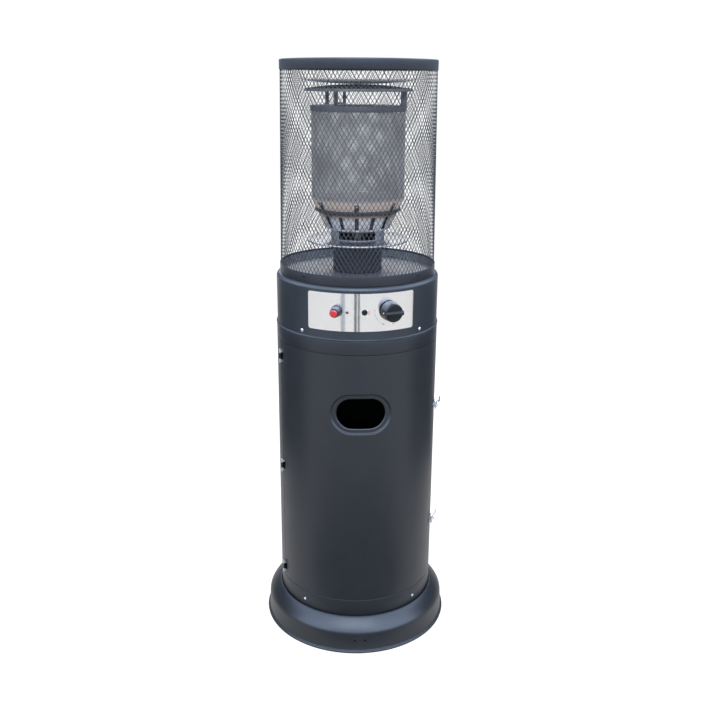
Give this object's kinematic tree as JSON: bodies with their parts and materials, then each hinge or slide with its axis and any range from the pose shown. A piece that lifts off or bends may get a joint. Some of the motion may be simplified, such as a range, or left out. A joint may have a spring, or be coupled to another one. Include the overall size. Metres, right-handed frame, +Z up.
{
  "type": "gas space heater",
  "caption": "Free-standing round gas heater: bottle cabinet with a hinged door, control collar, and a burner, emitter and reflector inside a wire guard.",
  "frame": {"origin": "on the floor, on the cabinet's upright axis, which is the centre of the base", "axes": "+Z up, -Y out of the control panel towards the user, +X to the user's right, where the latches are"},
  "size_m": [0.46, 0.46, 1.37],
  "materials": {
    "coat": "satin charcoal powder coat",
    "black_coat": "matt black heat-proof coat",
    "stainless": "polished stainless sheet",
    "dull_steel": "heat-dulled stainless sheet",
    "zinc": "bright zinc plate",
    "black_plastic": "moulded, satin",
    "red_plastic": "moulded, glossy",
    "red_lens": "clear dark red",
    "brass": "turned",
    "copper": "drawn copper tube",
    "cast_metal": "die cast",
    "ceramic": "glazed ceramic"
  },
  "bodies": {
    "root": {"base_dish": "coat", "bottle_floor": "black_coat", "lower_ring": "coat", "upper_ring": "coat", "rear_shell": "coat", "hinge_frame_leaf_1": "zinc", "hinge_frame_leaf_2": "zinc", "hinge_frame_leaf_3": "zinc", "latch_base_1": "zinc", "latch_base_2": "zinc", "collar_shell": "coat", "control_panel": "stainless", "gas_valve": "cast_metal", "valve_bracket": "zinc", "gas_inlet": "brass", "igniter_body": "black_plastic", "sight_port": "black_plastic", "indicator_lens": "red_lens", "tilt_switch": "black_plastic", "guard_lower_band": "coat", "guard_mesh_front": "black_coat", "guard_mesh_back": "black_coat", "guard_top_cover": "coat", "top_deck": "dull_steel", "burner_drum": "black_coat", "heat_shield": "stainless", "burner_base": "stainless", "burner_cone": "stainless", "burner_head": "dull_steel", "venturi_tube": "cast_metal", "gas_jet": "brass", "emitter_ring": "black_coat", "emitter_screen": "dull_steel", "emitter_cap": "dull_steel", "reflector_support_1": "stainless", "reflector_support_2": "stainless", "reflector_support_3": "stainless", "lower_reflector": "stainless", "upper_reflector": "stainless", "reflector_bolt": "zinc", "pilot_burner": "zinc", "pilot_gas_tube": "copper", "thermocouple": "copper", "ignition_lead": "black_plastic", "spark_electrode": "ceramic", "main_gas_tube": "copper"},
    "door": {"door_panel": "coat", "hinge_door_leaf_1": "zinc", "hinge_door_leaf_2": "zinc", "hinge_door_leaf_3": "zinc", "latch_keeper_1": "zinc", "latch_keeper_2": "zinc"},
    "upper_latch_lever": {"latch_lever_1": "zinc"},
    "upper_latch_bail": {"latch_bail_1": "zinc"},
    "lower_latch_lever": {"latch_lever_2": "zinc"},
    "lower_latch_bail": {"latch_bail_2": "zinc"},
    "valve_plug": {"valve_plug": "brass"},
    "knob": {"control_knob": "black_plastic", "valve_stem": "brass"},
    "igniter_button": {"igniter_button": "red_plastic"}
  },
  "joints": [
    {"name": "door_hinge", "type": "hinge", "parent": "root", "child": "door", "pos_m": [-0.18382, -0.06509, 0.4345], "axis": [0, 0, -1], "range_deg": [0, 110]},
    {"name": "upper_latch", "type": "hinge", "parent": "root", "child": "upper_latch_lever", "pos_m": [0.1947, -0.03312, 0.573], "axis": [0, 0, -1], "range_deg": [0, 110]},
    {"name": "upper_bail", "type": "hinge", "parent": "upper_latch_lever", "child": "upper_latch_bail", "pos_m": [0.19489, -0.02662, 0.573], "axis": [0, 0, -1], "range_deg": [-143, 0]},
    {"name": "lower_latch", "type": "hinge", "parent": "root", "child": "lower_latch_lever", "pos_m": [0.1947, -0.03312, 0.264], "axis": [0, 0, -1], "range_deg": [0, 110]},
    {"name": "lower_bail", "type": "hinge", "parent": "lower_latch_lever", "child": "lower_latch_bail", "pos_m": [0.19489, -0.02662, 0.264], "axis": [0, 0, -1], "range_deg": [-143, 0]},
    {"name": "knob_turn", "type": "hinge", "parent": "root", "child": "valve_plug", "pos_m": [0.05997, -0.18029, 0.846], "axis": [0.3156, -0.9489, 0], "range_deg": [0, 240]},
    {"name": "knob_push", "type": "slide", "parent": "valve_plug", "child": "knob", "axis": [-0.3156, 0.9489, 0], "range_m": [0, 0.003], "stiffness_N_per_m": 400, "springref_m": -0.002},
    {"name": "igniter_push", "type": "slide", "parent": "root", "child": "igniter_button", "axis": [0.2857, 0.9583, 0], "range_m": [0, 0.0045], "stiffness_N_per_m": 600, "springref_m": -0.002}
  ],
  "couplings": [
    {"joint": "upper_bail", "follows": "upper_latch", "ratio": -1.3},
    {"joint": "lower_bail", "follows": "lower_latch", "ratio": -1.3}
  ]
}
